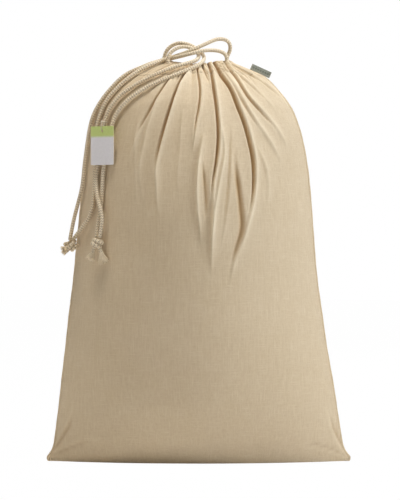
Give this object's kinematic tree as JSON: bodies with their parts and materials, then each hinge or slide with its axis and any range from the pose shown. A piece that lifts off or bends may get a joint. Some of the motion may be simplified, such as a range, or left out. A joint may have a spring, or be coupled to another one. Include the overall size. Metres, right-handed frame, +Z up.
{
  "type": "laundry bag",
  "caption": "Cotton laundry bag standing filled, drawn shut at the top by knotted drawcords, with a swing tag on a string and a folded label in the side seam.",
  "frame": {"origin": "middle of the base of the bag, on the surface it stands on", "axes": "+Z up, +X to the right as seen from the front, -Y out of the front, where the tag hangs"},
  "size_m": [0.489, 0.2481, 0.681],
  "materials": {
    "canvas": "matte",
    "cord": "matte",
    "card": "matte",
    "string": "matte",
    "label": "matte"
  },
  "bodies": {
    "bag": {"front_panel": "canvas", "back_panel": "canvas", "front_casing": "canvas", "back_casing": "canvas", "side_seam_left": "canvas", "side_seam_right": "canvas", "bottom_seam": "canvas", "cord_a_casing_run": "cord", "cord_b_casing_run": "cord", "cord_a_outer_strand": "cord", "cord_a_inner_strand": "cord", "cord_b_outer_strand": "cord", "cord_b_inner_strand": "cord", "cord_b_tail": "cord", "cord_a_tail_long": "cord", "cord_a_tail_short": "cord", "cord_b_knot": "cord", "cord_a_knot": "cord", "tag_string": "string"},
    "tag": {"hang_tag": "card"},
    "label": {"woven_label": "label"}
  },
  "joints": [
    {"name": "tag_swing", "type": "hinge", "parent": "bag", "child": "tag", "pos_m": [-0.154, -0.0595, 0.528], "axis": [-0.4695, -0.8829, 0], "range_deg": [-35, 35]},
    {"name": "label_flap", "type": "hinge", "parent": "bag", "child": "label", "pos_m": [0.09577, 0, 0.62228], "axis": [0.9093, 0, -0.4161], "range_deg": [-60, 60], "stiffness_Nm_per_rad": 0.0002}
  ]
}
